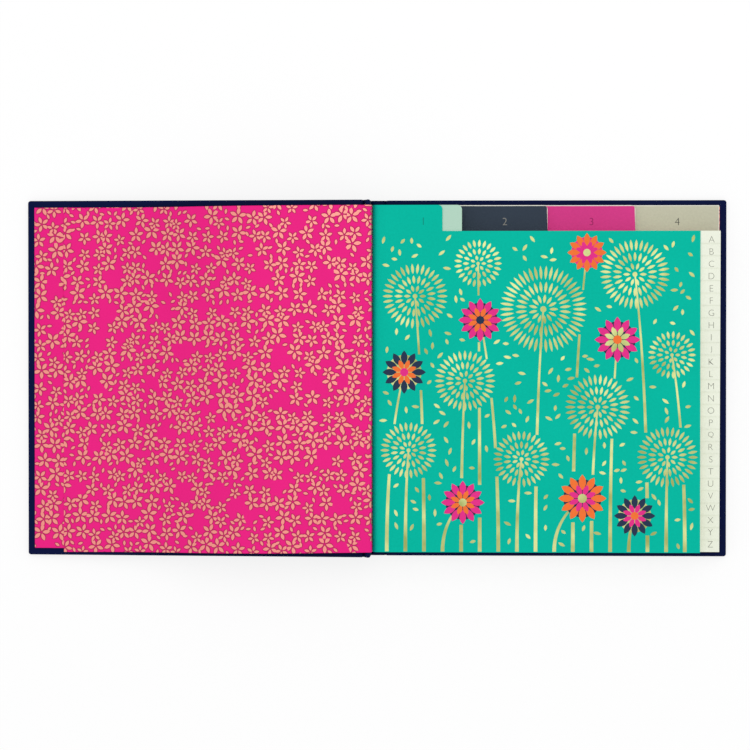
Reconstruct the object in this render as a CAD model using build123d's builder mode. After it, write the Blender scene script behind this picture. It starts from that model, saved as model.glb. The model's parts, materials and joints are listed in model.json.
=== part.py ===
"""A square, casebound address book, lying open at its first spread.

The book is two wrapped boards and a spine board round a text block. The front cover
lies open on the left with its flyleaf turned over on it. On the right lie the leaves:
an address divider, 26 letter leaves with a stepped index down the fore edge, and three
more sections, each with a tab at the head.

+X runs across the spread, +Y up the page and +Z off the table. The origin is under the
middle of the open book. Millimetres.
"""

import os
from math import asin, atan2, cos, degrees, hypot, radians, sin

from build123d import *

# Leaves and paper
page_width = 160.2
page_height = 160.0
tab_height = 12.0
index_strip = 9.2
fly_thickness = 0.2
divider_thickness = 0.25
letter_leaf_thickness = 0.23
section_pages = 1.6
leaf_gap = 0.05
letters = "abcdefghijklmnopqrstuvwxyz"

# Tabs at the head of the leaves, measured from the bound edge
address_divider_tab = 32.6
address_tab_end = 41.5
events_tab_end = 81.0
gifts_tab_end = 121.5
tab_overlap = 2.0
tab_corner = 2.0

# Sections after the letters, from the bottom up: a name, and where its tab starts and ends
sections = (
    ("notes", gifts_tab_end, page_width),
    ("gifts", events_tab_end, gifts_tab_end),
    ("events", address_tab_end, events_tab_end),
)

# Case: boards, covering paper and pastedowns
board_thickness = 2.0
covering = 0.25
pastedown_thickness = 0.2
fore_square = 3.5
head_square = 2.5
turn_in = 16.0
pastedown_border = 3.2
cover_corner = 1.2

# Spine and joints
lining = 0.4
hollow = 0.5
spine_board_thickness = 1.5
spine_recess = 0.7
lining_inset = 4.0
hinge_inset = 1.0
hinge_to_board = 5.0
groove_floor = 0.35
joint_clearance = 0.3
joint_lap = 2.6
fold_radius = 0.4

# Bending lines of the leaves
flex_margin = 14.0
margin_gap = 0.1
margin_radius = 1.2
hump_clearance = 0.35

# Levels through the closed book, from the table up
cover_thickness = pastedown_thickness + 2 * covering + board_thickness
rear_fly_z = cover_thickness + leaf_gap
sections_z = rear_fly_z + fly_thickness
section_height = section_pages + divider_thickness + 2 * leaf_gap
letters_z = sections_z + len(sections) * section_height
letter_pitch = letter_leaf_thickness + leaf_gap
address_z = letters_z + len(letters) * letter_pitch + leaf_gap
block_top = address_z + divider_thickness
front_face = block_top + 2 * leaf_gap + fly_thickness

# Outline of the closed book
cover_height = page_height + 2 * head_square
cover_reach = page_width + fore_square - hinge_inset
body_height = page_height - tab_height
body_width = page_width - index_strip
page_bottom = -page_height / 2
body_top = page_bottom + body_height
letter_step = body_height / len(letters)

# The front cover leans back until its fore edge lies on the table
corner_reach = hypot(cover_reach, cover_thickness)
open_tilt = degrees(asin(front_face / corner_reach) - atan2(cover_thickness, cover_reach))
open_angle = 180 + open_tilt

# The origin is midway between the two fore edges
open_reach = cover_reach * cos(radians(open_tilt)) - pastedown_thickness * sin(radians(open_tilt))
bound_x = (open_reach - hinge_inset - page_width - fore_square) / 2
hinge_x = bound_x + hinge_inset

# Spine, from the bound edge outwards
spine_inner = bound_x - lining - hollow
spine_outer = spine_inner - spine_board_thickness - covering
spine_bottom = spine_recess
spine_top = front_face + cover_thickness - spine_recess

os.makedirs("parts", exist_ok=True)


def save(builder, name):
    """Labels a finished piece and writes its STEP file."""
    builder.part.label = name
    export_step(builder.part, f"parts/{name}.step")


def hinge_plane(height, angle):
    """A plane on the hinge line at a height, turned by an angle from lying to the right."""
    turn = radians(angle)
    return Plane(
        origin=(hinge_x, 0, height),
        x_dir=(cos(turn), 0, sin(turn)),
        z_dir=(-sin(turn), 0, cos(turn)),
    )


def page_plane(height):
    """A level plane with X measured from the bound edge."""
    return Plane((bound_x, 0, height))


def in_profile(plane, across, out):
    """A point of a tilted plane as a point of the XZ profile."""
    point = plane.from_local_coords((across, 0, out))
    return (point.X, point.Z)


front_plane = hinge_plane(front_face, open_angle)
back_plane = Plane((hinge_x, 0, cover_thickness), x_dir=(1, 0, 0), z_dir=(0, 0, -1))

# Cover pieces: X runs from the hinge line to the fore edge, Z outwards from the inner face
from_hinge = (Align.MIN, Align.CENTER)
board_level = pastedown_thickness + covering
board_height = cover_height - 2 * covering
board_width = cover_reach - hinge_to_board - covering
window_height = cover_height - 2 * turn_in
window_width = cover_reach - hinge_to_board - turn_in
paper_height = cover_height - 2 * pastedown_border
paper_width = cover_reach - hinge_to_board - pastedown_border


def cover_outline(width, height):
    """A rectangle that starts at the hinge edge of the board."""
    with Locations((hinge_to_board, 0)):
        Rectangle(width, height, align=from_hinge)


def fore_edge_corners(outline):
    """The two corners of a cover outline furthest from the hinge."""
    return outline.vertices().group_by(Axis.X)[-1]


for side, inner_face in (("front", front_plane), ("back", back_plane)):
    # Grey board, the stiff core of the cover
    with BuildPart() as cover_board:
        with BuildSketch(inner_face.offset(board_level)) as board_outline:
            cover_outline(board_width, board_height)
            fillet(fore_edge_corners(board_outline), cover_corner - covering)
        extrude(amount=board_thickness)
    save(cover_board, f"{side}_board")

    # Covering paper, drawn over three edges and turned in round a window
    with BuildPart() as cover_wrap:
        with BuildSketch(inner_face.offset(pastedown_thickness)) as wrap_outline:
            cover_outline(board_width + covering, cover_height)
            fillet(fore_edge_corners(wrap_outline), cover_corner)
        extrude(amount=board_thickness + 2 * covering)
        with BuildSketch(inner_face.offset(board_level)) as board_space:
            cover_outline(board_width, board_height)
            fillet(fore_edge_corners(board_space), cover_corner - covering)
        extrude(amount=board_thickness, mode=Mode.SUBTRACT)
        with BuildSketch(inner_face.offset(pastedown_thickness)):
            cover_outline(window_width, window_height)
        extrude(amount=covering, mode=Mode.SUBTRACT)
    save(cover_wrap, f"{side}_wrap")

    # Pastedown, lapping the turn-ins and pressed down to the board inside them
    with BuildPart() as pastedown:
        with BuildSketch(inner_face):
            cover_outline(paper_width, paper_height)
        extrude(amount=pastedown_thickness)
        with BuildSketch(inner_face.offset(pastedown_thickness)):
            cover_outline(window_width, window_height)
        extrude(amount=covering)
    save(pastedown, f"{side}_pastedown")

# Spine board, standing behind the bound edge with a hollow between
spine_height = spine_top - spine_bottom
with BuildPart() as spine_board:
    with BuildSketch(Plane.XZ):
        with Locations((spine_inner, spine_bottom)):
            Rectangle(spine_board_thickness, spine_height, align=(Align.MAX, Align.MIN))
    extrude(amount=board_height / 2, both=True)
save(spine_board, "spine_board")

# Covering of the spine, turned in at head and tail
with BuildPart() as spine_wrap:
    with BuildSketch(Plane.XZ):
        with Locations((spine_inner + covering, spine_bottom)):
            Rectangle(
                spine_board_thickness + 2 * covering,
                spine_height,
                align=(Align.MAX, Align.MIN),
            )
    extrude(amount=cover_height / 2, both=True)
    with BuildSketch(Plane.XZ):
        with Locations((spine_inner, spine_bottom)):
            Rectangle(spine_board_thickness, spine_height, align=(Align.MAX, Align.MIN))
    extrude(amount=board_height / 2, both=True, mode=Mode.SUBTRACT)
    with BuildSketch(Plane.XZ):
        with Locations((spine_inner, spine_bottom)):
            Rectangle(covering, spine_height, align=(Align.MIN, Align.MIN))
    extrude(amount=window_height / 2, both=True, mode=Mode.SUBTRACT)
save(spine_wrap, "spine_wrap")

# Cloth lining glued to the bound edges of the leaves
with BuildPart() as spine_lining:
    with BuildSketch(Plane.XZ):
        with Locations((bound_x, rear_fly_z)):
            Rectangle(lining, block_top - rear_fly_z, align=(Align.MAX, Align.MIN))
    extrude(amount=page_height / 2 - lining_inset, both=True)
save(spine_lining, "spine_lining")

# Front joint: the covering between spine and front board, folded down into the gap. It bends
# through more than a half turn, so the half by the spine and the half under the board are two pieces.
board_foot = in_profile(front_plane, hinge_to_board, cover_thickness)
lap_out = cover_thickness + joint_clearance + covering / 2
fold_x = (spine_outer + board_foot[0]) / 2
fold_z = board_foot[1] - joint_clearance - covering / 2
joint_split = Plane((0, 0, fold_z + fold_radius + covering))
for piece, kept in (("front_joint", Keep.TOP), ("front_joint_lap", Keep.BOTTOM)):
    with BuildPart() as joint_half:
        with BuildSketch(Plane.XZ):
            with BuildLine():
                FilletPolyline(
                    (fold_x, spine_top - covering),
                    (fold_x, fold_z),
                    in_profile(front_plane, hinge_to_board + joint_lap, lap_out),
                    radius=fold_radius,
                )
            trace(line_width=covering)
        extrude(amount=board_height / 2, both=True)
        split(bisect_by=joint_split, keep=kept)
    save(joint_half, piece)

# Back joint: the covering pressed into a groove between spine and back board
groove_spine = spine_inner + covering + joint_clearance + covering / 2 - hinge_x
groove_board = hinge_to_board - joint_clearance - covering / 2
with BuildPart() as back_joint:
    with BuildSketch(Plane.XZ):
        with BuildLine():
            FilletPolyline(
                in_profile(back_plane, groove_spine, cover_thickness - spine_bottom),
                in_profile(back_plane, groove_spine, groove_floor),
                in_profile(back_plane, groove_board, groove_floor),
                in_profile(back_plane, groove_board, cover_thickness - covering),
                radius=fold_radius,
            )
        trace(line_width=covering)
    extrude(amount=board_height / 2, both=True)
save(back_joint, "back_joint")

# Leaves: each is free beyond a margin that bends at the binding
free_from = hinge_inset + flex_margin
margin_width = free_from - margin_gap


def leaf_body(width):
    """The free part of a leaf below its tab."""
    with Locations((free_from, page_bottom)):
        Rectangle(width - free_from, body_height, align=(Align.MIN, Align.MIN))


def head_tab(tab_start, tab_end):
    """A tab standing on the head of a leaf."""
    with Locations((tab_start, body_top)):
        Rectangle(tab_end - tab_start, tab_height, align=(Align.MIN, Align.MIN))


def tab_outer_corner(outline):
    """The corner of a tab that is furthest from the binding."""
    return outline.vertices().group_by(Axis.Y)[-1].sort_by(Axis.X)[-1]


def margin(height):
    """The strip of a leaf that bends, next to the binding."""
    with Locations((0, page_bottom)):
        Rectangle(margin_width, height, align=(Align.MIN, Align.MIN))


# Front flyleaf, turned over onto the pastedown, and the margin that carries it over the spine
with BuildPart() as front_flyleaf:
    with BuildSketch(front_plane.offset(-leaf_gap)):
        with Locations((flex_margin, 0)):
            Rectangle(page_width - free_from, page_height, align=from_hinge)
    extrude(amount=-fly_thickness)
save(front_flyleaf, "front_flyleaf")

# The margin too bends through more than a half turn, so its rise and its fall are two pieces
hump_z = spine_top + hump_clearance + fly_thickness / 2
margin_split = Plane.YZ.offset(spine_inner)
for piece, kept in (("flyleaf_margin", Keep.TOP), ("flyleaf_shoulder", Keep.BOTTOM)):
    with BuildPart() as margin_half:
        with BuildSketch(Plane.XZ):
            with BuildLine():
                FilletPolyline(
                    (bound_x + fly_thickness, block_top + leaf_gap + fly_thickness / 2),
                    (bound_x, hump_z),
                    (spine_outer - hump_clearance, hump_z),
                    in_profile(front_plane, flex_margin - margin_gap, -leaf_gap - fly_thickness / 2),
                    radius=margin_radius,
                )
            trace(line_width=fly_thickness)
        extrude(amount=page_height / 2, both=True)
        split(bisect_by=margin_split, keep=kept)
    save(margin_half, piece)

# Address divider, cut back so that the index strip shows beside it
with BuildPart() as address_divider:
    with BuildSketch(page_plane(address_z)) as divider_outline:
        leaf_body(body_width)
        head_tab(free_from, address_divider_tab)
        fillet(tab_outer_corner(divider_outline), tab_corner)
    extrude(amount=divider_thickness)
save(address_divider, "address_divider")

with BuildPart() as divider_margin:
    with BuildSketch(page_plane(address_z)):
        margin(page_height)
    extrude(amount=divider_thickness)
save(divider_margin, "divider_margin")

# Letter leaves: the fore edge is cut away below each letter, so that the later ones show
letter_heights = [address_z - (place + 1) * letter_pitch for place in range(len(letters))]
for place, letter in enumerate(letters):
    strip_height = (place + 1) * letter_step
    with BuildPart() as letter_leaf:
        with BuildSketch(page_plane(letter_heights[place])) as leaf_outline:
            leaf_body(body_width)
            with Locations((body_width, body_top)):
                Rectangle(index_strip, strip_height, align=(Align.MIN, Align.MAX))
            head_tab(free_from, address_tab_end)
            fillet(tab_outer_corner(leaf_outline), tab_corner)
        extrude(amount=letter_leaf_thickness)
    save(letter_leaf, f"letter_leaf_{letter}")

with BuildPart() as letter_margins:
    with BuildSketch(*[page_plane(height) for height in letter_heights]):
        margin(page_height)
    extrude(amount=letter_leaf_thickness)
save(letter_margins, "letter_margins")

# Three more sections, each a stack of pages under a tabbed divider
section_floors = [sections_z + place * section_height + leaf_gap for place in range(len(sections))]
for floor, (section, tab_start, tab_end) in zip(section_floors, sections):
    layers = (
        ("pages", floor, section_pages),
        ("divider", floor + section_pages + leaf_gap, divider_thickness),
    )
    for layer, height, thickness in layers:
        with BuildPart() as section_leaf:
            with BuildSketch(page_plane(height)) as section_outline:
                leaf_body(page_width)
                head_tab(tab_start - tab_overlap, tab_end)
                # The last tab ends in the corner of the page, which is square
                if tab_end < page_width:
                    fillet(tab_outer_corner(section_outline), tab_corner)
            extrude(amount=thickness)
        save(section_leaf, f"{section}_{layer}")

with BuildPart() as section_margins:
    with BuildSketch(*[page_plane(floor) for floor in section_floors]):
        margin(body_height)
    extrude(amount=section_pages + leaf_gap + divider_thickness)
save(section_margins, "section_margins")

# Rear flyleaf, the last leaf, lying on the back pastedown
with BuildPart() as rear_flyleaf:
    with BuildSketch(page_plane(rear_fly_z)):
        Rectangle(page_width, page_height, align=from_hinge)
    extrude(amount=fly_thickness)
save(rear_flyleaf, "rear_flyleaf")

print(f"bound edge x {bound_x:.4f}, hinge line x {hinge_x:.4f}")
print(f"front hinge z {front_face:.4f}, back hinge z {cover_thickness:.4f}")
print(f"front cover opens {open_angle:.4f} degrees")
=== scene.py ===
"""The looks of a square, casebound address book, lying open at its first spread."""

import json
import math
import random

import bmesh
import bpy
from mathutils import Matrix, Vector


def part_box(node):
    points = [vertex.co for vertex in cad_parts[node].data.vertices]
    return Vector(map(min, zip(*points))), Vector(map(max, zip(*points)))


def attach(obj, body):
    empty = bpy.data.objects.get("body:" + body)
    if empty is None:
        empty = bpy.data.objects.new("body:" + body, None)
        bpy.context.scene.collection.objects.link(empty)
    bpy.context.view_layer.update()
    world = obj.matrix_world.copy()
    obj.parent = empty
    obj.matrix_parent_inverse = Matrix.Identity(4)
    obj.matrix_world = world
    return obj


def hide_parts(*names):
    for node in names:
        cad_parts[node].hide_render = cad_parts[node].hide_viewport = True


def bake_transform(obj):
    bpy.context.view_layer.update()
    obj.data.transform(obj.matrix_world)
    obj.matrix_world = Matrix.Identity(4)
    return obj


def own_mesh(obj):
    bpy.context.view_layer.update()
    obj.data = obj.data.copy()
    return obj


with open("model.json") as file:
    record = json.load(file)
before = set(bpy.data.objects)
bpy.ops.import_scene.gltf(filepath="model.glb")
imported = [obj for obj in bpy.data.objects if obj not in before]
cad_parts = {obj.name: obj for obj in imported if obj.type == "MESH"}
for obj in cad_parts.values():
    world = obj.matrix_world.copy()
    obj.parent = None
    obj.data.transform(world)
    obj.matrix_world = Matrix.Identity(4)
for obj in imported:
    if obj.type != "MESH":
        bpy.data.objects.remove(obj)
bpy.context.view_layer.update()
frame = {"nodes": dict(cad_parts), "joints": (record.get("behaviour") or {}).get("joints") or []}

# Grey boards. The stiff cores of the case are pulp board, cut square and hidden inside the
# covering paper. The paper that everything else is made of shares their uneven fibre.
grey_pulp = (0.36, 0.34, 0.31, 1)
pulp_fineness = 1400
pulp_depth = 0.00012
pulp_roughness = 0.9
cloud_fineness = 26
noise_middle = (0.3, 0.7)
fleck_tones = (0.955, 1.03)
cloud_tones = (0.965, 1.02)
paper_gloss = 0.1


def shader_node(tree, kind, inputs=None, **settings):
    """Adds a node, sets its properties and fills its inputs with sockets or plain values."""
    node = tree.nodes.new(kind)
    for name, value in settings.items():
        setattr(node, name, value)
    for name, value in (inputs or {}).items():
        if isinstance(value, bpy.types.NodeSocket):
            tree.links.new(value, node.inputs[name])
        else:
            node.inputs[name].default_value = value
    return node


def calculate(tree, operation, *values):
    """One math node, as the socket of its result."""
    return shader_node(tree, "ShaderNodeMath", dict(enumerate(values)), operation=operation).outputs[0]


def mix_colours(tree, factor, first, second, blend="MIX"):
    """One colour mix, as the socket of its result; the node's colour sockets are 6, 7 and 2."""
    inputs = {0: factor, 6: first, 7: second}
    return shader_node(tree, "ShaderNodeMix", inputs, data_type="RGBA", blend_type=blend).outputs[2]


def ramp(tree, value, low, high, to_low, to_high):
    """A value carried from one range to another and held at its ends."""
    inputs = {"Value": value, "From Min": low, "From Max": high, "To Min": to_low, "To Max": to_high}
    return shader_node(tree, "ShaderNodeMapRange", inputs).outputs[0]


def shader_group(name, inputs, outputs):
    """An empty node group with named sockets, as its tree, its inputs and its outputs."""
    tree = bpy.data.node_groups.new(name, "ShaderNodeTree")
    for direction, sockets in (("INPUT", inputs), ("OUTPUT", outputs)):
        for socket, kind in sockets.items():
            tree.interface.new_socket(socket, in_out=direction, socket_type=f"NodeSocket{kind}")
    source = tree.nodes.new("NodeGroupInput")
    result = tree.nodes.new("NodeGroupOutput")
    return tree, source.outputs, result.inputs


fibre_tree, given, made = shader_group(
    "paper_fibre",
    {"Place": "Vector", "Colour": "Color", "Fineness": "Float"},
    {"Colour": "Color", "Height": "Float"},
)
fine_inputs = {"Vector": given["Place"], "Scale": given["Fineness"], "Detail": 4.0, "Roughness": 0.62}
fine = shader_node(fibre_tree, "ShaderNodeTexNoise", fine_inputs).outputs[0]
cloud_inputs = {"Vector": given["Place"], "Scale": cloud_fineness, "Detail": 2.0}
cloud = shader_node(fibre_tree, "ShaderNodeTexNoise", cloud_inputs).outputs[0]
fleck = ramp(fibre_tree, fine, *noise_middle, *fleck_tones)
shade = ramp(fibre_tree, cloud, *noise_middle, *cloud_tones)
tone = calculate(fibre_tree, "MULTIPLY", fleck, shade)
tinted = mix_colours(fibre_tree, 1.0, given["Colour"], tone, "MULTIPLY")
fibre_tree.links.new(tinted, made["Colour"])
fibre_tree.links.new(fine, made["Height"])


def start_finish(name, **sockets):
    """A new material with its shader, whose plain values are given by name."""
    sockets = {"Specular_IOR_Level": paper_gloss, **sockets}
    finish = bpy.data.materials.new(name)
    finish.use_nodes = True
    shader = finish.node_tree.nodes["Principled BSDF"]
    for socket, value in sockets.items():
        shader.inputs[socket.replace("_", " ")].default_value = value
    return finish, finish.node_tree, shader


def add_fibre(tree, shader, place, colour, fineness, depth):
    """Gives a shader the fibre's colour and height, with depth as the bump in metres."""
    fibre_inputs = {"Place": place, "Colour": colour, "Fineness": fineness}
    group = shader_node(tree, "ShaderNodeGroup", fibre_inputs, node_tree=fibre_tree)
    bump_inputs = {"Height": group.outputs["Height"], "Distance": depth, "Strength": 1.0}
    bump = shader_node(tree, "ShaderNodeBump", bump_inputs)
    tree.links.new(bump.outputs[0], shader.inputs["Normal"])
    return group.outputs["Colour"]


def object_place(tree):
    """Where a point lies on a rigid piece, in metres."""
    return shader_node(tree, "ShaderNodeTexCoord").outputs["Object"]


def finish_nodes(finish, slot, *nodes):
    """Gives CAD nodes a finish; the slot is not used."""
    for node in nodes:
        frame["nodes"][node].data.materials.clear()
        frame["nodes"][node].data.materials.append(finish)


board_finish, tree, shader = start_finish("grey_board", Roughness=pulp_roughness)
colour = add_fibre(tree, shader, object_place(tree), grey_pulp, pulp_fineness, pulp_depth)
tree.links.new(colour, shader.inputs["Base Color"])
finish_nodes(board_finish, "grey_board", "front_board", "back_board", "spine_board")

# Covering. Navy paper with a fine leathery grain is glued round each board and turned in at the
# edges, so every edge is a little round. One slab stands for the covering of each board.
navy = (0.0020, 0.0055, 0.042, 1)
navy_rubbed = (0.006, 0.013, 0.075, 1)
covering_gloss = 0.04
covering_roughness = (0.46, 0.6)
covering = 0.00025
edge_radius = 0.0007
corner_radius = 0.0012
hinge_corner_radius = 0.0008
board_turn_in = 0.016
spine_turn_in = 0.004
grain_fineness = 2600
grain_depth = 0.00006
scuff_fineness = 90
scuff_detail = 6
scuff_rubbed = (0.55, 0.8)
scuff_dulled = (0.3, 0.75)
rubbed_share = 0.12
sharp_fold = math.radians(40)
corner_steps = 6
edge_steps = 5

hinges = {joint["name"]: joint for joint in frame["joints"]}
front_hinge = Vector(hinges["front_cover_hinge"]["pos_m"])
back_hinge = Vector(hinges["back_cover_hinge"]["pos_m"])
cover_turn = -math.radians(hinges["front_cover_hinge"]["range_deg"][0])


def turned_axes(turn):
    """Along and out of a sheet that has turned by an angle about the hinge line."""
    return Vector((math.cos(turn), 0, math.sin(turn))), Vector((-math.sin(turn), 0, math.cos(turn)))


def rounded_loop(low, high, inset, radii):
    """The points of a rectangle with round corners, drawn in by an inset; radii go round from low."""
    points = []
    corners = ((low[0], low[1]), (high[0], low[1]), (high[0], high[1]), (low[0], high[1]))
    for place, (x, y) in enumerate(corners):
        inward = (1 if x == low[0] else -1, 1 if y == low[1] else -1)
        radius = max(radii[place] - inset, covering)
        centre = (x + inward[0] * (inset + radius), y + inward[1] * (inset + radius))
        for step in range(corner_steps + 1):
            angle = math.pi + (place + step / corner_steps) * math.pi / 2
            points.append((centre[0] + radius * math.cos(angle), centre[1] + radius * math.sin(angle)))
    return points


def mesh_piece(name, bm, finish):
    """Turns a finished bmesh into a piece with smooth curves and sharp folds."""
    bmesh.ops.recalc_face_normals(bm, faces=bm.faces)
    mesh = bpy.data.meshes.new(name)
    bm.to_mesh(mesh)
    bm.free()
    mesh.shade_smooth()
    mesh.set_sharp_from_angle(angle=sharp_fold)
    mesh.materials.append(finish)
    piece = bpy.data.objects.new(name, mesh)
    bpy.context.scene.collection.objects.link(piece)
    return piece


def join_loops(bm, loops):
    """Closes the skin between each closed loop of points and the next."""
    for first, second in zip(loops, loops[1:]):
        for place in range(len(first)):
            after = (place + 1) % len(first)
            bm.faces.new((first[place], first[after], second[after], second[place]))


def wrapped_slab(name, to_frame, low, high, levels, radii, turn_in):
    """A board in its covering: turn-ins round a window inside, round edges, and an outer face."""
    inner, outer = levels
    rings = [(turn_in, inner + covering), (turn_in, inner), (edge_radius, inner)]
    for step in range(1, edge_steps + 1):
        bend = math.pi / 2 * step / edge_steps
        rings.append((edge_radius * (1 - math.sin(bend)), inner + edge_radius * (1 - math.cos(bend))))
    for step in range(edge_steps + 1):
        bend = math.pi / 2 * step / edge_steps
        rings.append((edge_radius * (1 - math.cos(bend)), outer - edge_radius * (1 - math.sin(bend))))
    bm = bmesh.new()
    loops = []
    for inset, level in rings:
        points = rounded_loop(low, high, inset, radii)
        loops.append([bm.verts.new(to_frame(across, along, level)) for across, along in points])
    join_loops(bm, loops)
    bm.faces.new(loops[0])
    bm.faces.new(loops[-1])
    return mesh_piece(name, bm, covering_finish)


covering_finish, tree, shader = start_finish("navy_covering", Specular_IOR_Level=covering_gloss)
colour = add_fibre(tree, shader, object_place(tree), navy, grain_fineness, grain_depth)
scuff_inputs = {"Vector": object_place(tree), "Scale": scuff_fineness, "Detail": scuff_detail}
scuff = shader_node(tree, "ShaderNodeTexNoise", scuff_inputs).outputs[0]
rub = ramp(tree, scuff, *scuff_rubbed, 0.0, rubbed_share)
tree.links.new(mix_colours(tree, rub, colour, navy_rubbed), shader.inputs["Base Color"])
tree.links.new(ramp(tree, scuff, *scuff_dulled, *covering_roughness), shader.inputs["Roughness"])

wrap_low, wrap_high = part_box("back_wrap")
cover_low = (wrap_low.x - back_hinge.x, wrap_low.y)
cover_high = (wrap_high.x - back_hinge.x, wrap_high.y)
pastedown_thickness = back_hinge.z - wrap_high.z
cover_levels = (pastedown_thickness, back_hinge.z - wrap_low.z)
cover_radii = (hinge_corner_radius, corner_radius, corner_radius, hinge_corner_radius)
front_along, front_out = turned_axes(cover_turn)


def on_front_cover(across, along, out):
    """A point of the front cover, from its distances to the hinge line and the inner face."""
    return front_hinge + front_along * across + Vector((0, along, 0)) + front_out * out


def on_back_cover(across, along, out):
    """A point of the back cover, likewise."""
    return back_hinge + Vector((across, along, -out))


def on_spine(across, along, out):
    """A point of the spine, from its height, its place up the page and its distance outwards."""
    return Vector((-out, along, across))


for side, to_frame in (("front", on_front_cover), ("back", on_back_cover)):
    slab = wrapped_slab(
        f"{side}_covering", to_frame, cover_low, cover_high, cover_levels, cover_radii, board_turn_in
    )
    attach(slab, f"{side}_cover")
    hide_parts(f"{side}_wrap", f"{side}_board")

spine_low, spine_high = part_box("spine_wrap")
spine_slab = wrapped_slab(
    "spine_covering",
    on_spine,
    (spine_low.z, spine_low.y),
    (spine_high.z, spine_high.y),
    (-spine_high.x, -spine_low.x),
    (hinge_corner_radius,) * 4,
    spine_turn_in,
)
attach(spine_slab, "text_block")
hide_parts("spine_wrap", "spine_board")

# Joints. Between the spine and each board the covering has no board behind it, so that it can bend.
# The front one is folded outside the spine while the book lies open, in two halves of which the
# board's laps over the spine's. The back one is pressed into its groove.
joint_steps = 30
joint_rows = 4
joint_lap = 1.2 * covering
joint_delay = 6
groove_steps = 8
groove_squareness = 6


def profile_sheet(name, profile, thickness, span, rows, finish):
    """A sheet bent along a profile in XZ, with thickness either side of it, run up the page."""
    normals = []
    for place in range(len(profile)):
        before = profile[max(place - 1, 0)]
        after = profile[min(place + 1, len(profile) - 1)]
        along = Vector((after[0] - before[0], after[1] - before[1])).normalized()
        normals.append(Vector((-along.y, along.x)) * thickness / 2)
    outline = [Vector(point) + normal for point, normal in zip(profile, normals)]
    outline += [Vector(point) - normal for point, normal in reversed(list(zip(profile, normals)))]
    bm = bmesh.new()
    loops = []
    for row in range(rows + 1):
        y = span[0] + (span[1] - span[0]) * row / rows
        loops.append([bm.verts.new((point.x, y, point.y)) for point in outline])
    join_loops(bm, loops)
    columns = len(profile)
    for loop in (loops[0], loops[-1]):
        for place in range(columns - 1):
            behind = 2 * columns - 1 - place
            bm.faces.new((loop[place], loop[place + 1], loop[behind - 1], loop[behind]))
    return mesh_piece(name, bm, finish)


def around_hinge(start, end, delay, steps):
    """Points that swing about the front hinge between two points, and go out late to the second."""
    arms = [Vector((point[0] - front_hinge.x, point[1] - front_hinge.z)) for point in (start, end)]
    angles = [math.atan2(arm.y, arm.x) % (2 * math.pi) for arm in arms]
    points = []
    for step in range(steps + 1):
        share = step / steps
        angle = angles[0] + (angles[1] - angles[0]) * share
        reach = arms[0].length + (arms[1].length - arms[0].length) * share**delay
        points.append((front_hinge.x + reach * math.cos(angle), front_hinge.z + reach * math.sin(angle)))
    return points


def in_profile(point):
    """The XZ part of a point."""
    return (point.x, point.z)


def away_from_hinge(point, distance):
    """A profile point moved straight away from the front hinge."""
    outward = Vector((point[0] - front_hinge.x, point[1] - front_hinge.z)).normalized()
    return (point[0] + outward.x * distance, point[1] + outward.y * distance)


def profile_ends(profile):
    """The two ends of a profile, as points of the frame."""
    return [Vector((point[0], 0, point[1])) for point in (profile[0], profile[-1])]


joint_span = (cover_low[1] + covering / 2, cover_high[1] - covering / 2)
fold_start = (spine_low.x + covering / 4, spine_high.z - edge_radius)
fold_end = in_profile(on_front_cover(cover_low[0] + edge_radius, 0, cover_levels[1] + covering / 4))
fold = around_hinge(fold_start, fold_end, joint_delay, 2 * joint_steps)
lapped = [
    away_from_hinge(point, joint_lap * (1 - step / joint_steps))
    for step, point in enumerate(fold[joint_steps:])
]
halves = (
    ("joint_by_spine", fold[: joint_steps + 1], ("text_block", "front_joint"), "front_joint"),
    ("joint_by_board", lapped, ("front_joint_lap", "front_cover"), "front_joint_lap"),
)
for name, profile, bodies, node in halves:
    half = profile_sheet(name, profile, covering, joint_span, joint_rows, covering_finish)
    start, end = profile_ends(profile)
    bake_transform(half)
    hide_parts(node)

joint_low, joint_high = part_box("back_joint")
groove_low = spine_high.x - edge_radius / 2
groove_high = back_hinge.x + cover_low[0] + covering / 4
groove = []
for step in range(2 * groove_steps + 1):
    share = step / groove_steps - 1
    x = (groove_low + groove_high) / 2 + share * (groove_high - groove_low) / 2
    pressed_in = 1 - abs(share) ** groove_squareness
    groove.append((x, joint_low.z + covering + pressed_in * (joint_high.z - joint_low.z - 2 * covering)))
back_joint = profile_sheet("back_joint_groove", groove, covering, joint_span, joint_rows, covering_finish)
start, end = profile_ends(groove)
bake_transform(back_joint)
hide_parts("back_joint")

# Spine lining. A strip of open cotton cloth is glued over the bound edges of the leaves, inside the
# hollow of the spine.
cotton = (0.72, 0.70, 0.64, 1)
cotton_dark = (0.5, 0.48, 0.43, 1)
thread_pitch = 0.0006
weave_depth = 0.0002
cotton_roughness = 0.95
lining_finish, tree, shader = start_finish("lining_cloth", Roughness=cotton_roughness)
# The bands of a wave texture lie pi / (10 * scale) apart
wave_inputs = {"Vector": object_place(tree), "Scale": math.pi / (10 * thread_pitch)}
threads = []
for direction in ("Y", "Z"):
    wave = shader_node(tree, "ShaderNodeTexWave", wave_inputs, bands_direction=direction)
    threads.append(wave.outputs["Fac"])
weave = calculate(tree, "MULTIPLY", *threads)
tree.links.new(mix_colours(tree, weave, cotton_dark, cotton), shader.inputs["Base Color"])
bump = shader_node(tree, "ShaderNodeBump", {"Height": weave, "Distance": weave_depth})
tree.links.new(bump.outputs[0], shader.inputs["Normal"])
finish_nodes(lining_finish, "lining_cloth", "spine_lining")

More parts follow.
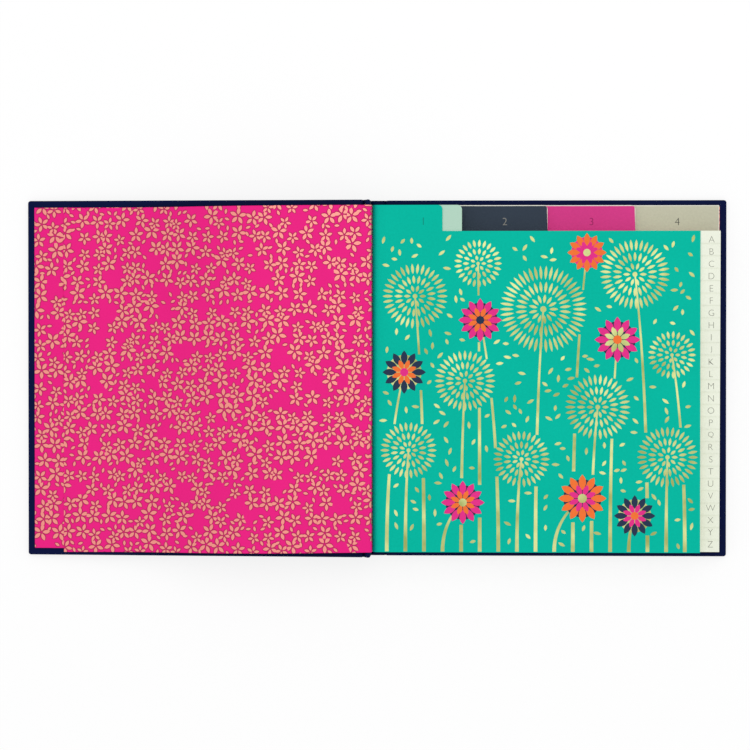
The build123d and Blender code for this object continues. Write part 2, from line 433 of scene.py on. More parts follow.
# Endpapers. Bright pink paper printed all over with little gold flowers of five loose petals, strewn
# unevenly, with single petals between them. The pastedowns are glued inside the covers.
pink = (0.81, 0.0125, 0.216, 1)
# Round every gold mark the pink darkens in a thin rim: painted shade along the edge of the foil
pink_rim_shade = (0.22, 0.0025, 0.035, 1)
foil_on_pink = (0.92, 0.325, 0.27, 1)
flower_spacing = 0.0069
flower_scatter = 0.62
flower_share = 0.93
flower_petals = 5
petal_middle = 0.0022
petal_half_length = 0.00165
petal_half_width = 0.0008
flower_sizes = (0.72, 1.12)
loose_spacing = 0.0034
loose_scatter = 0.5
loose_share = 0.86
loose_size = 0.75
print_blur = 0.00007
shade_rim_width = 0.00058
endpaper_depth = 0.00003
endpaper_roughness = 0.55
foil_metallic = 0.75
foil_roughness = 0.34

flower_tree, given, made = shader_group(
    "flower_print", {"Place": "Vector"}, {"Foil": "Float", "Shade_Rim": "Float"}
)


def strewn(tree, place, spacing, scatter):
    """Points strewn over the paper: the nearest one, chance values for it, and its distance."""
    inputs = {"Vector": place, "Scale": 1 / spacing, "Randomness": scatter}
    points = shader_node(tree, "ShaderNodeTexVoronoi", inputs, voronoi_dimensions="2D").outputs
    luck = shader_node(tree, "ShaderNodeSeparateColor", {0: points["Color"]}).outputs
    return points["Position"], luck, calculate(tree, "MULTIPLY", points["Distance"], spacing)


def heading_from(tree, place, point, luck):
    """The heading from a strewn point to a place, counted from the point's own chance heading."""
    both = {0: place, 1: point}
    offset = shader_node(tree, "ShaderNodeVectorMath", both, operation="SUBTRACT").outputs[0]
    offset = shader_node(tree, "ShaderNodeSeparateXYZ", {0: offset}).outputs
    heading = calculate(tree, "ARCTAN2", offset[1], offset[0])
    return calculate(tree, "MULTIPLY_ADD", luck[0], 2 * math.pi, heading)


def petal_depth(tree, reach, heading, size, middle):
    """How far a point is outside a pointed petal whose middle lies out along the heading zero."""
    along = calculate(tree, "MULTIPLY", reach, calculate(tree, "COSINE", heading))
    along = calculate(tree, "SUBTRACT", calculate(tree, "DIVIDE", along, size), middle)
    across = calculate(tree, "MULTIPLY", reach, calculate(tree, "SINE", heading))
    across = calculate(tree, "ABSOLUTE", across)
    share = calculate(tree, "POWER", calculate(tree, "DIVIDE", along, petal_half_length), 2.0)
    width = calculate(tree, "MULTIPLY_ADD", share, -petal_half_width, petal_half_width)
    return calculate(tree, "SUBTRACT", across, calculate(tree, "MULTIPLY", width, size))


def only_where(tree, depth, shown):
    """A depth that counts only where shown is one."""
    return calculate(tree, "ADD", depth, calculate(tree, "SUBTRACT", 1.0, shown))


place = given["Place"]
flower_at, luck, reach = strewn(flower_tree, place, flower_spacing, flower_scatter)
# Whole turns are added, so that the heading is folded over one petal from above zero
heading = calculate(flower_tree, "ADD", heading_from(flower_tree, place, flower_at, luck), 4 * math.pi)
folded = calculate(flower_tree, "PINGPONG", heading, math.pi / flower_petals)
size = ramp(flower_tree, luck[1], 0, 1, *flower_sizes)
flower = petal_depth(flower_tree, reach, folded, size, petal_middle)
flower = only_where(flower_tree, flower, calculate(flower_tree, "LESS_THAN", luck[2], flower_share))

loose_at, luck, reach = strewn(flower_tree, place, loose_spacing, loose_scatter)
heading = heading_from(flower_tree, place, loose_at, luck)
loose = petal_depth(flower_tree, reach, heading, loose_size, 0.0)
flower_room = petal_middle + petal_half_length
to_flower = strewn(flower_tree, loose_at, flower_spacing, flower_scatter)[2]
beside = calculate(flower_tree, "GREATER_THAN", to_flower, flower_room)
kept = calculate(flower_tree, "LESS_THAN", luck[1], loose_share)
loose = only_where(flower_tree, loose, calculate(flower_tree, "MULTIPLY", beside, kept))
depth = calculate(flower_tree, "MINIMUM", flower, loose)
flower_tree.links.new(ramp(flower_tree, depth, -print_blur, print_blur, 1.0, 0.0), made["Foil"])
flower_tree.links.new(ramp(flower_tree, depth, 0.0, shade_rim_width, 1.0, 0.0), made["Shade_Rim"])


def endpaper_finish(name, find_place):
    """Pink paper with the flower print; find_place gives where a point lies on the paper."""
    finish, tree, shader = start_finish(name)
    place = find_place(tree)
    flowers = shader_node(tree, "ShaderNodeGroup", {"Place": place}, node_tree=flower_tree).outputs
    paper = add_fibre(tree, shader, place, pink, pulp_fineness, endpaper_depth)
    # Painted shade: a dark rim is laid round every gold mark
    edged = mix_colours(tree, flowers["Shade_Rim"], paper, pink_rim_shade)
    printed = mix_colours(tree, flowers["Foil"], edged, foil_on_pink)
    roughness = ramp(tree, flowers["Foil"], 0, 1, endpaper_roughness, foil_roughness)
    tree.links.new(printed, shader.inputs["Base Color"])
    tree.links.new(ramp(tree, flowers["Foil"], 0, 1, 0.0, foil_metallic), shader.inputs["Metallic"])
    tree.links.new(roughness, shader.inputs["Roughness"])
    return finish


pasted_finish = endpaper_finish("pink_pastedown", object_place)
finish_nodes(pasted_finish, "pink_endpaper", "front_pastedown", "back_pastedown", "rear_flyleaf")

# Front flyleaf. The free half of the front endpaper comes up out of the binding and over the spine,
# bows clear of the cover because the paper is stiff, and comes to rest on the pastedown.
fly_reach = 0.1456
fly_landing = 0.126
fly_bow = 0.0098
fly_bow_peak = 0.054
fly_twist = 0.04
fly_skew = 0.0011
fly_rows = 14

# The bow in profile: the crest over the spine and the pulls of the curves up to the crest, the peak and
# the landing, as distances along the flyleaf's plane and off it, or for the landing along it only
fly_crest = (0.0029, 0.0027)
crest_pulls = ((0.0007, 0.0019), (0.0008, 0.00235))
peak_pulls = ((0.022, 0.0058), (0.038, fly_bow))
landing_pulls = (0.081, 0.098)
crest_steps = 10
peak_steps = 16
landing_steps = 22
flat_steps = 5

stub_steps = 6
gutter_dip = 0.0021
leaf_map_size = 0.17
fly_turn = -math.radians(hinges["flyleaf_turn"]["range_deg"][0])
fly_along, fly_out = turned_axes(fly_turn)
fly_low, fly_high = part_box("front_flyleaf")
fly_span = (fly_low.y, fly_high.y)
fly_solid = frame["nodes"]["front_flyleaf"].data
fly_levels = [(vertex.co - front_hinge).dot(fly_out) for vertex in fly_solid.vertices]
fly_thickness = max(fly_levels) - min(fly_levels)
fly_rest = -(max(fly_levels) + min(fly_levels)) / 2
bound_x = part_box("letter_margins")[0].x


def leaf_place(tree):
    """Where a point lies on a loose leaf, in metres, from the leaf's own map."""
    uv = shader_node(tree, "ShaderNodeUVMap", uv_map="leaf").outputs[0]
    scale = (leaf_map_size, leaf_map_size, 1)
    return shader_node(tree, "ShaderNodeMapping", {"Vector": uv, "Scale": scale}).outputs[0]


def map_leaf(piece, find):
    """Gives a leaf its map; find turns a point into the distances across and up the leaf."""
    layer = piece.data.uv_layers.new(name="leaf")
    for loop in piece.data.loops:
        across, up = find(piece.data.vertices[loop.vertex_index].co)
        layer.data[loop.index].uv = (across / leaf_map_size, up / leaf_map_size)


def bezier(start, start_pull, end_pull, end, steps):
    """Points of one cubic curve, without its last."""
    points = []
    for step in range(steps):
        t = step / steps
        shares = ((1 - t) ** 3, 3 * t * (1 - t) ** 2, 3 * t * t * (1 - t), t**3)
        controls = (start, start_pull, end_pull, end)
        points.append(tuple(sum(s * c[axis] for s, c in zip(shares, controls)) for axis in (0, 1)))
    return points


def on_flyleaf(across, off):
    """A profile point from its distance along the flyleaf's plane and its height off it."""
    return in_profile(front_hinge + fly_along * across - fly_out * off)


def map_along(profile):
    """A map finder for a bent sheet: the length along its profile, and the height up the page."""
    lengths = [0.0]
    for first, second in zip(profile, profile[1:]):
        lengths.append(lengths[-1] + (Vector(second) - Vector(first)).length)

    def find(point):
        spot = Vector((point.x, point.z))
        place = min(range(len(profile)), key=lambda index: (Vector(profile[index]) - spot).length)
        return lengths[place], point.y - fly_span[0]

    return find


root = (front_hinge.x - bound_x, -fly_rest / 2)
peak = (fly_bow_peak, fly_bow)
landing = (fly_landing, fly_rest)
root_curve = bezier(root, *crest_pulls, fly_crest, crest_steps)
bow = root_curve + bezier(fly_crest, *peak_pulls, peak, peak_steps)
bow += bezier(peak, (landing_pulls[0], fly_bow), (landing_pulls[1], fly_rest), landing, landing_steps)
flat_pitch = (fly_reach - fly_landing) / flat_steps
bow += [(fly_landing + flat_pitch * step, fly_rest) for step in range(flat_steps + 1)]
fly_profile = [on_flyleaf(*point) for point in bow]
fly_finish = endpaper_finish("pink_flyleaf", leaf_place)
flyleaf = profile_sheet("flyleaf_sheet", fly_profile, fly_thickness, fly_span, fly_rows, fly_finish)
map_leaf(flyleaf, map_along(fly_profile))
for vertex in flyleaf.data.vertices:
    across = (vertex.co - front_hinge).dot(fly_along)
    off = -(vertex.co - front_hinge).dot(fly_out) - fly_rest
    if off > fly_crest[1]:
        vertex.co += fly_out * (off - fly_crest[1]) * fly_twist * vertex.co.y / fly_high.y
    vertex.co.y -= fly_skew * across / fly_reach
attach(flyleaf, "flyleaf")
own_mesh(flyleaf)
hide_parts("front_flyleaf", "flyleaf_shoulder")

stub_gap = 1.5 * fly_thickness
stub_depth = 0.8 * gutter_dip
stub_profile = [on_flyleaf(across, off - stub_gap) for across, off in root_curve[:stub_steps]]
start, end = profile_ends(stub_profile)
stub_profile.insert(0, (start.x + fly_thickness / 4, start.z - stub_depth))
stub = profile_sheet("flyleaf_stub", stub_profile, fly_thickness, fly_span, fly_rows, fly_finish)
map_leaf(stub, map_along(stub_profile))
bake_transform(stub)
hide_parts("flyleaf_margin")

# Section pages. Three stacks of plain cream leaves lie at the back of the book. They are sewn and
# glued at the bound edge, where every leaf of the book dips into the gutter, and trimmed together,
# though never quite flush.
page_cream = (0.83, 0.82, 0.74, 1)
page_roughness = 0.8
page_depth = 0.00004
sheets_in_stack = 8
sheet_share = 0.86
trim_spread = 0.00022
flex_columns = 12
gutter_width = 0.0024
gutter_gap = 0.0003
facing_up = 0.9
weld_distance = 1e-6
touching = 1e-5
trim_seed = 4
random_trim = random.Random(trim_seed)
free_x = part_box("letter_leaf_a")[0].x
page_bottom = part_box("letter_leaf_a")[0].y
block_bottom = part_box("section_margins")[0].z
block_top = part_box("divider_margin")[1].z


def leaf_outline(node):
    """A leaf's outline from above, taken from its solid and drawn back to the binding."""
    bm = bmesh.new()
    bm.from_mesh(frame["nodes"][node].data)
    bmesh.ops.remove_doubles(bm, verts=bm.verts, dist=weld_distance)
    other_faces = [face for face in bm.faces if face.normal.z < facing_up]
    bmesh.ops.delete(bm, geom=other_faces, context="FACES")
    edge = next(edge for edge in bm.edges if edge.is_boundary)
    start, point = edge.verts
    outline = [start.co.copy()]
    while point is not start:
        outline.append(point.co.copy())
        edge = next(other for other in point.link_edges if other.is_boundary and other is not edge)
        point = edge.other_vert(point)
    bm.free()
    nearest = min(point.x for point in outline)
    return [Vector((bound_x if point.x < nearest + touching else point.x, point.y)) for point in outline]


def add_sheet(bm, outline, bottom, thickness):
    """Adds one closed sheet to a bmesh, cut into strips where it bends at the binding."""
    face = bm.faces.new([bm.verts.new((point.x, point.y, bottom)) for point in outline])
    pieces = [face, *face.edges, *face.verts]
    for column in range(1, flex_columns + 1):
        cut_x = bound_x + (free_x - bound_x) * column / flex_columns
        cut = bmesh.ops.bisect_plane(bm, geom=pieces, plane_co=(cut_x, 0, 0), plane_no=(1, 0, 0))
        pieces = cut["geom"]
    faces = [piece for piece in pieces if isinstance(piece, bmesh.types.BMFace)]
    raised = bmesh.ops.extrude_face_region(bm, geom=faces, use_keep_orig=True)
    verts = [piece for piece in raised["geom"] if isinstance(piece, bmesh.types.BMVert)]
    bmesh.ops.translate(bm, verts=verts, vec=(0, 0, thickness))


def bind_leaf(leaf, nodes):
    """Maps a leaf, draws it down into the gutter, and hides the solids it stands for."""
    map_leaf(leaf, lambda point: (point.x - bound_x, point.y - page_bottom))
    # The higher a leaf lies in the block, the more it dips, and the top ones stand off the flyleaf
    for vertex in leaf.data.vertices:
        near = max(0.0, 1 - (vertex.co.x - bound_x) / gutter_width)
        height = (vertex.co.z - block_bottom) / (block_top - block_bottom)
        vertex.co += Vector((gutter_gap * near * height**4, 0, -gutter_dip * near**2 * height))
    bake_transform(leaf)
    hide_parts(*nodes)


page_finish, tree, shader = start_finish("page_paper", Roughness=page_roughness)
colour = add_fibre(tree, shader, leaf_place(tree), page_cream, pulp_fineness, page_depth)
tree.links.new(colour, shader.inputs["Base Color"])
for section in ("notes", "gifts", "events"):
    node = f"{section}_pages"
    outline = leaf_outline(node)
    low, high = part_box(node)
    pitch = (high.z - low.z) / sheets_in_stack
    fore_edge = max(point.x for point in outline)
    bm = bmesh.new()
    for sheet in range(sheets_in_stack):
        short = random_trim.uniform(0, trim_spread) if sheet < sheets_in_stack - 1 else 0
        drop = random_trim.uniform(-trim_spread, trim_spread) / 2
        trimmed = [Vector((min(point.x, fore_edge - short), point.y + drop)) for point in outline]
        add_sheet(bm, trimmed, low.z + sheet * pitch, pitch * sheet_share)
    stack = mesh_piece(f"{section}_leaves", bm, page_finish)
    bind_leaf(stack, (node, "section_margins"))

# Section dividers. Each section starts with a leaf of coloured card whose tab stands at the head,
# numbered in print, one step further from the binding than the last.
card_fineness = 900
card_depth = 0.00005
card_roughness = 0.62
divider_colours = {
    "events": (0.031, 0.044, 0.066, 1),
    "gifts": (0.63, 0.042, 0.235, 1),
    "notes": (0.515, 0.505, 0.385, 1),
}
number_colours = {
    "events": (0.24, 0.235, 0.215, 1),
    "gifts": (0.30, 0.02, 0.11, 1),
    "notes": (0.10, 0.10, 0.085, 1),
}
number_height = 0.0034
number_drop = 0.0015
number_weight = -0.012
ink_thickness = 0.00001
ink_depth = 0.00001
ink_roughness = 0.7
type_depth = 0.01
tab_trim = 0.00035

# How far from the binding each tab comes out from under the tab before it
seen_tab_start = {"notes": 0.1215, "gifts": 0.081, "events": 0.0415}


def ink_finish(name, colour):
    """Matt printing ink, a little uneven."""
    finish, tree, shader = start_finish(name, Roughness=ink_roughness)
    uneven = add_fibre(tree, shader, object_place(tree), colour, card_fineness, ink_depth)
    tree.links.new(uneven, shader.inputs["Base Color"])
    return finish


def print_sign(name, sign, height, centre, weight, finish):
    """One printed sign, as tall as its height and lying level about its centre."""
    curve = bpy.data.curves.new(name, "FONT")
    curve.body = sign
    curve.align_x = "CENTER"
    curve.offset = weight
    curve.extrude = type_depth
    writing = bpy.data.objects.new(name, curve)
    bpy.context.scene.collection.objects.link(writing)
    bpy.context.view_layer.update()
    mesh = bpy.data.meshes.new_from_object(writing.evaluated_get(bpy.context.evaluated_depsgraph_get()))
    bpy.data.objects.remove(writing)
    points = [vertex.co for vertex in mesh.vertices]
    low = Vector((min(point[axis] for point in points) for axis in range(3)))
    high = Vector((max(point[axis] for point in points) for axis in range(3)))
    scale = height / (high.y - low.y)
    for vertex in mesh.vertices:
        flat = (vertex.co - (low + high) / 2) * scale
        lift = ink_thickness if vertex.co.z > 0 else 0
        vertex.co = Vector((centre[0] + flat.x, centre[1] + flat.y, centre[2] + lift))
    mesh.materials.clear()
    mesh.materials.append(finish)
    mesh.name = name
    piece = bpy.data.objects.new(name, mesh)
    bpy.context.scene.collection.objects.link(piece)
    return piece


body_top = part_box("section_margins")[1].y
page_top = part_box("letter_leaf_a")[1].y
tab_middle = (body_top + page_top) / 2
number_line = tab_middle - number_drop
for number, section in ((4, "notes"), (3, "gifts"), (2, "events")):
    node = f"{section}_divider"
    low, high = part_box(node)
    finish, tree, shader = start_finish(f"{section}_card", Roughness=card_roughness)
    card = add_fibre(tree, shader, leaf_place(tree), divider_colours[section], card_fineness, card_depth)
    tree.links.new(card, shader.inputs["Base Color"])
    outline = leaf_outline(node)
    tab_end = max(point.x for point in outline if point.y > tab_middle)
    for point in outline:
        if point.y > body_top:
            point.x = min(point.x, tab_end - tab_trim)
            point.y = min(point.y, page_top - tab_trim)
    bm = bmesh.new()
    add_sheet(bm, outline, low.z, high.z - low.z)
    divider = mesh_piece(f"{section}_card", bm, finish)
    bind_leaf(divider, (node, "section_margins"))
    middle = ((bound_x + seen_tab_start[section] + tab_end) / 2, number_line, high.z)
    ink = ink_finish(f"{section}_number_ink", number_colours[section])
    sign = print_sign(f"{section}_number", str(number), number_height, middle, number_weight, ink)
    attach(sign, f"{section}_section")

# Letter leaves. Twenty-six leaves of pale cream paper, ruled for entries and tinted on the tab. Each
# is cut away at the fore edge below its own letter, so that all the letters show at once.
letter_cream = (0.83, 0.86, 0.735, 1)
tab_mint = (0.43, 0.63, 0.51, 1)
rule_grey = (0.55, 0.60, 0.52, 1)
rule_pitch = 0.008
rule_width = 0.00016
tab_edge_blur = 0.0002
letter_roughness = 0.78
letter_height = 0.0028
letter_weight = -0.022
index_head = 0.00395
index_pitch = 0.00562
index_shift = 0.0005
letter_ink = (0.2, 0.205, 0.165, 1)
letters = "abcdefghijklmnopqrstuvwxyz"

letter_finish, tree, shader = start_finish("letter_paper", Roughness=letter_roughness)
place = leaf_place(tree)
across, up, _ = shader_node(tree, "ShaderNodeSeparateXYZ", {0: place}).outputs
strip_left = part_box("address_divider")[1].x
rule = calculate(tree, "LESS_THAN", calculate(tree, "MODULO", up, rule_pitch), rule_width)
rule = calculate(tree, "MULTIPLY", rule, calculate(tree, "LESS_THAN", across, strip_left - bound_x))
ruled_top = body_top - page_bottom
below_tab = calculate(tree, "LESS_THAN", up, ruled_top - rule_pitch)
paper = add_fibre(tree, shader, place, letter_cream, pulp_fineness, page_depth)
lined = mix_colours(tree, calculate(tree, "MULTIPLY", rule, below_tab), paper, rule_grey)
on_tab = ramp(tree, up, ruled_top, ruled_top + tab_edge_blur, 0.0, 1.0)
tree.links.new(mix_colours(tree, on_tab, lined, tab_mint), shader.inputs["Base Color"])

index_ink = ink_finish("index_ink", letter_ink)
for order, letter in enumerate(letters):
    node = f"letter_leaf_{letter}"
    low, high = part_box(node)
    outline = leaf_outline(node)
    bm = bmesh.new()
    add_sheet(bm, outline, low.z, high.z - low.z)
    leaf = mesh_piece(f"leaf_{letter}", bm, letter_finish)
    bind_leaf(leaf, (node, "letter_margins"))
    letter_line = body_top - index_head - index_pitch * order
    middle = ((strip_left + high.x) / 2 + index_shift, letter_line, high.z)
    sign = print_sign(f"index_{letter}", letter.upper(), letter_height, middle, letter_weight, index_ink)
    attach(sign, node)

# Address divider. The first leaf is green card, numbered on its tab and cut back at the fore edge, so
# that the index shows beside it.
card_green = (0.001, 0.465, 0.345, 1)
number_green = (0.002, 0.24, 0.18, 1)
green_gloss = 0.03
green_roughness = 0.55
green_depth = 0.00004
green_finish, tree, shader = start_finish(
    "green_card", Roughness=green_roughness, Specular_IOR_Level=green_gloss
)
card = add_fibre(tree, shader, leaf_place(tree), card_green, card_fineness, green_depth)
tree.links.new(card, shader.inputs["Base Color"])
low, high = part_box("address_divider")
outline = leaf_outline("address_divider")
bm = bmesh.new()
add_sheet(bm, outline, low.z, high.z - low.z)
green_card = mesh_piece("address_card", bm, green_finish)
bind_leaf(green_card, ("address_divider", "divider_margin"))
tab_end = max(point.x for point in outline if point.y > tab_middle)
middle = ((free_x + tab_end) / 2, number_line, high.z)
ink = ink_finish("address_number_ink", number_green)
sign = print_sign("address_number", "1", number_height, middle, number_weight, ink)
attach(sign, "address_divider")

# Divider print. Seed heads on curved stems and drifting seeds are stamped on the green card in gold
# foil, and round blossoms are printed over them in foil and three inks, one layer on another.
foil_on_green = (0.38, 0.42, 0.13, 1)
# The foil is mixed at random between a dull gold and a bright one; the bright patches are painted
# highlights on the metal
foil_painted_highlight = (0.72, 0.76, 0.33, 1)
stamped_metallic = 0.8
stamped_roughness = (0.3, 0.44)
patch_fineness = 60
patch_detail = 3
painted_highlight_patches = (0.35, 0.65)
ink_colours = {
    "magenta": (0.75, 0.03, 0.24, 1),
    "orange": (0.86, 0.17, 0.035, 1),
    "navy": (0.02, 0.035, 0.075, 1),
}
ink_levels = {
    "stem": 0.000006,
    "head": 0.000012,
    "ground": 0.000018,
    "outer": 0.000025,
    "inner": 0.000032,
    "heart": 0.00004,
}

# The print is drawn in millimetres, across from the binding and up from the foot of the page
millimetre = 0.001
page_across = (strip_left - bound_x) / millimetre
page_up = (body_top - page_bottom) / millimetre

# Seed heads: across, up and radius
seed_heads = (
    (20, 118, 15), (49, 133, 11), (79, 112, 20), (121, 128, 16), (138, 91, 11),
    (43, 79, 14), (104, 67, 15), (17, 47, 13), (136, 44, 14), (69, 43, 13),
)
seed_heart = 0.07
seed_rings = ((0.14, 0.34), (0.38, 0.64), (0.68, 1.0))
seed_pitch = 2.3
seed_width = 1.3

# Blossoms: across, up, radius, then the inks of the ground, outer petals, inner petals and heart
blossoms = (
    (50, 107, 10, "navy", "magenta", "orange", "navy"),
    (99, 138, 9, "magenta", "orange", "magenta", "gold"),
    (113, 98, 10.5, "navy", "magenta", "gold", "orange"),
    (15, 83, 10, "gold", "navy", "orange", "magenta"),
    (97, 25, 11, "navy", "orange", "magenta", "gold"),
    (42, 23, 10, "navy", "magenta", "orange", "gold"),
    (121, 17, 9.5, "gold", "navy", "magenta", "orange"),
)
ground_share = 0.8
ground_sides = 28
blossom_heart = 0.19
heart_sides = 14

# Petals of a blossom: how many, and their near end, far end and width as shares of its radius
outer_petals = 12
outer_shares = (0.34, 1.0, 0.31)
inner_petals = 8
inner_shares = (0.12, 0.6, 0.23)
petal_steps = 6
petal_fullness = 0.8

stem_foot = 0.4
foot_margin = 7
stem_foot_pull = 0.6
stem_steps = 60
stem_width = (1.7, 0.7)
stem_room = 1.5
drift_tries = 900
drift_room = 2.3
drift_length = (2.6, 3.8)
drift_width = 1.4
drift_gutter = 4
drift_edge = 3
drift_seed = 11

foil_finish, tree, shader = start_finish("gold_foil", Metallic=stamped_metallic)
patch_inputs = {"Vector": object_place(tree), "Scale": patch_fineness, "Detail": patch_detail}
patch = shader_node(tree, "ShaderNodeTexNoise", patch_inputs).outputs[0]
# Painted highlights: random patches of the foil are given the bright gold
foil_with_painted_highlights = mix_colours(tree, ramp(tree, patch, *painted_highlight_patches, 0, 1), foil_on_green, foil_painted_highlight)
tree.links.new(foil_with_painted_highlights, shader.inputs["Base Color"])
tree.links.new(ramp(tree, patch, *noise_middle, *stamped_roughness), shader.inputs["Roughness"])
ink_finishes = {"gold": foil_finish}
for ink, colour in ink_colours.items():
    ink_finishes[ink] = ink_finish(f"{ink}_ink", colour)


def petal_shape(centre, heading, near, far, width):
    """A lens-shaped petal that points away from a centre, as a closed outline."""
    there = [(1, step) for step in range(petal_steps + 1)]
    back = [(-1, step) for step in range(petal_steps - 1, 0, -1)]
    outline = []
    for side, step in there + back:
        share = step / petal_steps
        reach = near + (far - near) * share
        off = side * width / 2 * math.sin(math.pi * share) ** petal_fullness
        x = centre[0] + reach * math.cos(heading) - off * math.sin(heading)
        y = centre[1] + reach * math.sin(heading) + off * math.cos(heading)
        outline.append((x, y))
    return outline


def petal_ring(centre, count, offset, near, far, width):
    """Petals set evenly round a centre; the offset turns the ring by a share of their pitch."""
    headings = [2 * math.pi * (place + offset) / count for place in range(count)]
    return [petal_shape(centre, heading, near, far, width) for heading in headings]


def disc_shape(centre, radius, sides=heart_sides):
    """A round dot."""
    turns = [2 * math.pi * side / sides for side in range(sides)]
    return [(centre[0] + radius * math.cos(turn), centre[1] + radius * math.sin(turn)) for turn in turns]


def is_taken(spot, taken):
    """Whether a point lies in one of the rounds that are taken."""
    return any((spot.x - x) ** 2 + (spot.y - y) ** 2 < radius**2 for x, y, radius in taken)


def stem_line(foot, top):
    """Points up a stem from its foot to its head, with the direction it grows in at each."""
    foot, top = Vector(foot), Vector(top)
    pull = Vector((foot.x, foot.y + (top.y - foot.y) * stem_foot_pull))
    line = []
    for step in range(stem_steps + 1):
        t = step / stem_steps
        spot = foot * (1 - t) ** 2 + pull * 2 * t * (1 - t) + top * t * t
        line.append((spot, ((pull - foot) * (1 - t) + (top - pull) * t).normalized()))
    return line


def stem_shapes(line, taken):
    """The stretches of a tapering stem that nothing else has taken, as closed outlines."""
    stretches = [([], [])]
    for step, (spot, along) in enumerate(line):
        width = stem_width[0] + (stem_width[1] - stem_width[0]) * step / stem_steps
        half = Vector((-along.y, along.x)) * width / 2
        if is_taken(spot, taken):
            stretches.append(([], []))
        else:
            stretches[-1][0].append(tuple(spot + half))
            stretches[-1][1].append(tuple(spot - half))
    return [left + right[::-1] for left, right in stretches if len(left) > 1]


def seed_head_shapes(centre, radius):
    """Rings of seeds that open outwards round a dotted heart."""
    shapes = [disc_shape(centre, radius * seed_heart)]
    for ring, (near, far) in enumerate(seed_rings):
        count = round(2 * math.pi * radius * (near + far) / 2 / seed_pitch)
        shapes += petal_ring(centre, count, 0.5 * (ring % 2), radius * near, radius * far, seed_width)
    return shapes


def blossom_shapes(centre, radius):
    """A ground, outer petals, inner petals and a heart, as four lists from the bottom up."""
    ground = [disc_shape(centre, radius * ground_share, ground_sides)]
    outer = petal_ring(centre, outer_petals, 0, *(radius * share for share in outer_shares))
    inner = petal_ring(centre, inner_petals, 0.5, *(radius * share for share in inner_shares))
    return ground, outer, inner, [disc_shape(centre, radius * blossom_heart)]


def printed_loop(bm, shape, lift):
    """The points of a printed shape on the green card, lifted off it."""
    places = [(bound_x + x * millimetre, page_bottom + y * millimetre) for x, y in shape]
    return [bm.verts.new((x, y, high.z + lift)) for x, y in places]


shapes = {(ink, level): [] for ink in ink_finishes for level in ink_levels}
heads = sorted(head[:3] for head in (*seed_heads, *blossoms))
grown = []
for order, head in enumerate(heads):
    foot_x = foot_margin + (page_across - 2 * foot_margin) * order / (len(heads) - 1)
    line = stem_line((foot_x, stem_foot), head[:2])
    others = [other for other in heads if other is not head]
    shapes["gold", "stem"] += stem_shapes(line, others + grown)
    grown += [(spot.x, spot.y, stem_room) for spot, _ in line]
taken = [(x, y, radius + drift_room) for x, y, radius in heads]
taken += [(x, y, radius + drift_room / 2) for x, y, radius in grown]
drift = random.Random(drift_seed)
for _ in range(drift_tries):
    x = drift.uniform(drift_gutter, page_across - drift_edge)
    spot = Vector((x, drift.uniform(drift_edge, page_up - drift_edge)))
    if not is_taken(spot, taken):
        length = drift.uniform(*drift_length)
        heading = drift.uniform(0, 2 * math.pi)
        shapes["gold", "head"].append(petal_shape(spot, heading, -length / 2, length / 2, drift_width))
        taken.append((spot.x, spot.y, length))
for x, y, radius in seed_heads:
    shapes["gold", "head"] += seed_head_shapes((x, y), radius)
for x, y, radius, *inks in blossoms:
    layers = zip(inks, ("ground", "outer", "inner", "heart"), blossom_shapes((x, y), radius))
    for ink, level, layer in layers:
        shapes[ink, level] += layer

for ink, finish in ink_finishes.items():
    bm = bmesh.new()
    for level, thickness in ink_levels.items():
        for shape in shapes[ink, level]:
            bottom = printed_loop(bm, shape, 0)
            top = printed_loop(bm, shape, thickness)
            bm.faces.new(bottom[::-1])
            bm.faces.new(top)
            join_loops(bm, [bottom, top])
    printed = mesh_piece(f"divider_print_{ink}", bm, finish)
    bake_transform(printed)

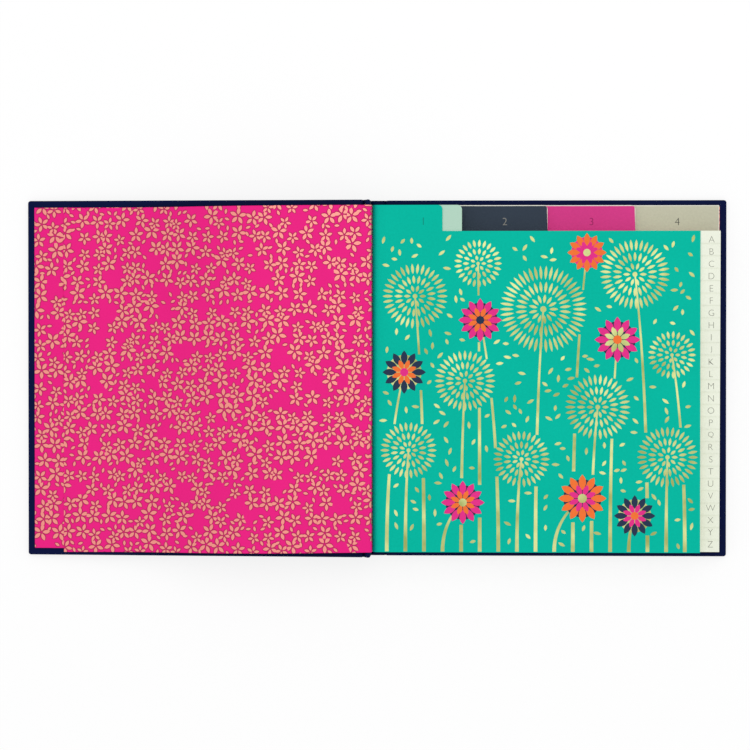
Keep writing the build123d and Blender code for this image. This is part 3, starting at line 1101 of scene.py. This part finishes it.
# Stage. A plain white table, an even white room and one large soft lamp, with the camera almost
# straight above the book.
floor_drop = 0.0003
floor_half = 4.0
table_white = (0.95, 0.95, 0.955, 1)
table_roughness = 0.9
table_glow = 0.78
pure_white = (1, 1, 1, 1)
room_strength = 0.87
lamp_place = Vector((0.15, 0.6, 1.1))
lamp_size = 0.9
lamp_watts = 3.6
camera_place = Vector((0.0660, 0.0281, 1.6))
camera_aim = Vector((-0.0001, 0.00155, 0.008))
camera_lens = 165.15

floor_mesh = bpy.data.meshes.new("table_top")
corners = [(x * floor_half, y * floor_half, -floor_drop) for x, y in ((-1, -1), (1, -1), (1, 1), (-1, 1))]
floor_mesh.from_pydata(corners, [], [(0, 1, 2, 3)])
floor = bpy.data.objects.new("table_top", floor_mesh)
bpy.context.scene.collection.objects.link(floor)
floor_finish, tree, shader = start_finish(
    "table_white", Base_Color=table_white, Roughness=table_roughness
)
ray = shader_node(tree, "ShaderNodeLightPath").outputs
straight = calculate(tree, "MAXIMUM", ray["Is Camera Ray"], ray["Is Glossy Ray"])
glow = shader_node(tree, "ShaderNodeEmission", {"Color": pure_white, "Strength": 1.0}).outputs[0]
faint = calculate(tree, "MULTIPLY", straight, table_glow)
mixed = shader_node(tree, "ShaderNodeMixShader", {0: faint, 1: shader.outputs[0], 2: glow}).outputs[0]
tree.links.new(mixed, tree.nodes["Material Output"].inputs["Surface"])
floor_mesh.materials.append(floor_finish)

world = bpy.data.worlds.new("white_room")
bpy.context.scene.world = world
world.use_nodes = True
room_light = world.node_tree.nodes["Background"].inputs
room_light["Color"].default_value = pure_white
room_light["Strength"].default_value = room_strength

lamp_data = bpy.data.lights.new("soft_lamp", "AREA")
lamp_data.size = lamp_size
lamp_data.energy = lamp_watts
lamp = bpy.data.objects.new("soft_lamp", lamp_data)
lamp.location = lamp_place
lamp.rotation_euler = (-lamp_place).to_track_quat("-Z", "Y").to_euler()
bpy.context.scene.collection.objects.link(lamp)

camera_data = bpy.data.cameras.new("camera")
camera_data.lens = camera_lens
camera = bpy.data.objects.new("camera", camera_data)
camera_back = (camera_place - camera_aim).normalized()
camera_right = Vector((0, 1, 0)).cross(camera_back).normalized()
camera_up = camera_back.cross(camera_right)
camera.location = camera_place
camera.rotation_euler = Matrix((camera_right, camera_up, camera_back)).transposed().to_euler()
bpy.context.scene.collection.objects.link(camera)
bpy.context.scene.camera = camera
bpy.context.scene.view_settings.view_transform = "Standard"
